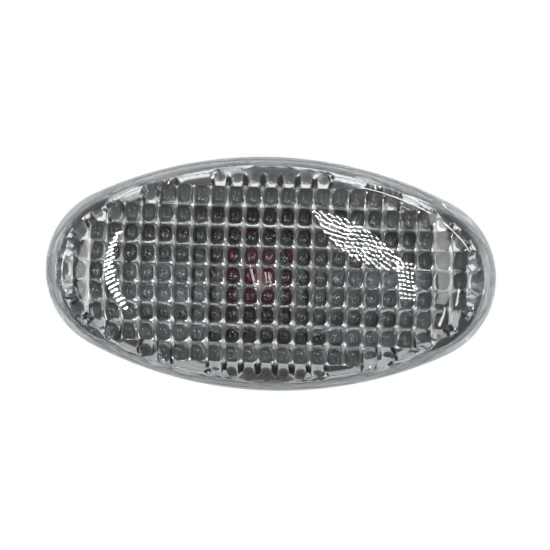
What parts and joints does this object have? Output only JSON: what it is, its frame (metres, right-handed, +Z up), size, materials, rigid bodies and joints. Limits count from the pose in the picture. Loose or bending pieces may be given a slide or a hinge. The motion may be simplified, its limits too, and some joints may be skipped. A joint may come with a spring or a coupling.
{
  "type": "side repeater lamp",
  "caption": "Oval car side repeater lamp with a clear pillow-optic dome lens, a metallised reflector, a coated wedge bulb and a snap-in housing.",
  "frame": {"origin": "centre of the panel cut-out, in the plane of the car body's outer skin that the gasket seats on", "axes": "+X along the lamp's length towards the retaining spring, +Z up, the lens faces -Y and the bulb holder and connector socket point to +Y, into the car body"},
  "size_m": [0.104, 0.0544, 0.054],
  "materials": {
    "lens_clear": "clear, polished outside, moulded pillow optics inside",
    "bond": "cured clear adhesive, frosted",
    "reflector_bright": "plastic with a bright vapour-metallised face",
    "housing_plastic": "moulded, light grey",
    "rubber_black": "matt black",
    "spring_steel": "rolled strip",
    "bulb_coated": "dark red-amber coated glass",
    "lead_wire": "drawn wire",
    "filament_wire": "coiled wire",
    "holder_plastic": "moulded, black",
    "contact_brass": "stamped strip"
  },
  "bodies": {
    "root": {"lens": "lens_clear", "lens_bond": "bond", "reflector": "reflector_bright", "housing": "housing_plastic", "gasket": "rubber_black", "retaining_spring": "spring_steel", "bulb_glass": "bulb_coated", "bulb_lead_left": "lead_wire", "bulb_lead_right": "lead_wire", "filament": "filament_wire", "bulb_holder": "holder_plastic", "holder_seal": "rubber_black", "contact_left": "contact_brass", "contact_right": "contact_brass"}
  },
  "joints": []
}
